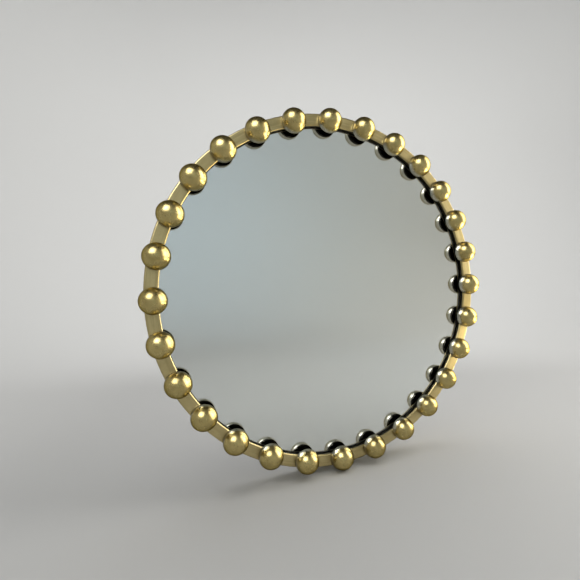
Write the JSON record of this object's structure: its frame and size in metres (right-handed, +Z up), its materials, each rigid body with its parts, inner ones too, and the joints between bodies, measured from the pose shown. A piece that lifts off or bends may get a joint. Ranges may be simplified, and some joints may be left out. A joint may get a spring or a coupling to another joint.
{
  "type": "round wall mirror",
  "caption": "Round wall mirror in a slim brass-finished hoop studded with evenly spaced balls, with hinged D-ring hangers behind it.",
  "frame": {"origin": "centre of the hoop's back rim, on the wall that the mirror hangs on", "axes": "+Z up as hung, +X to the right seen from the front, -Y the way the glass faces"},
  "size_m": [0.508, 0.0468, 0.508],
  "materials": {
    "hoop_brass": "satin antique brass plating on steel sheet, blackened inside",
    "ball_brass": "satin-polished antique brass plating on cast light alloy",
    "screw_zinc": "zinc plated",
    "clear_glass": "clear float glass with a ground edge",
    "silver_coat": "silvered towards the glass, grey protective paint behind",
    "foam": "closed-cell foam tape",
    "board": "medium-density fibreboard, painted black",
    "clip_zinc": "zinc-plated strip",
    "hanger_steel": "nickel-plated strip",
    "ring_steel": "nickel-plated wire"
  },
  "bodies": {
    "mirror": {"frame_hoop": "hoop_brass", "ball_01": "ball_brass", "ball_02": "ball_brass", "ball_03": "ball_brass", "ball_04": "ball_brass", "ball_05": "ball_brass", "ball_06": "ball_brass", "ball_07": "ball_brass", "ball_08": "ball_brass", "ball_09": "ball_brass", "ball_10": "ball_brass", "ball_11": "ball_brass", "ball_12": "ball_brass", "ball_13": "ball_brass", "ball_14": "ball_brass", "ball_15": "ball_brass", "ball_16": "ball_brass", "ball_17": "ball_brass", "ball_18": "ball_brass", "ball_19": "ball_brass", "ball_20": "ball_brass", "ball_21": "ball_brass", "ball_22": "ball_brass", "ball_23": "ball_brass", "ball_24": "ball_brass", "ball_25": "ball_brass", "ball_26": "ball_brass", "ball_27": "ball_brass", "ball_28": "ball_brass", "ball_screws": "screw_zinc", "mirror_glass": "clear_glass", "mirror_silvering": "silver_coat", "cushion_tape": "foam", "backing_board": "board", "board_clip_1": "clip_zinc", "board_clip_2": "clip_zinc", "board_clip_3": "clip_zinc", "board_clip_4": "clip_zinc", "board_clip_5": "clip_zinc", "board_clip_6": "clip_zinc", "board_clip_7": "clip_zinc", "board_clip_8": "clip_zinc", "clip_screws": "screw_zinc", "hanger_plate_left": "hanger_steel", "hanger_plate_right": "hanger_steel", "hanger_screws": "screw_zinc"},
    "left_ring": {"d_ring_left": "ring_steel"},
    "right_ring": {"d_ring_right": "ring_steel"}
  },
  "joints": [
    {"name": "left_ring_swing", "type": "hinge", "parent": "mirror", "child": "left_ring", "pos_m": [-0.13, -0.00674, 0.12], "axis": [1, 0, 0], "range_deg": [0, 180]},
    {"name": "right_ring_swing", "type": "hinge", "parent": "mirror", "child": "right_ring", "pos_m": [0.13, -0.00674, 0.12], "axis": [1, 0, 0], "range_deg": [0, 180]}
  ]
}
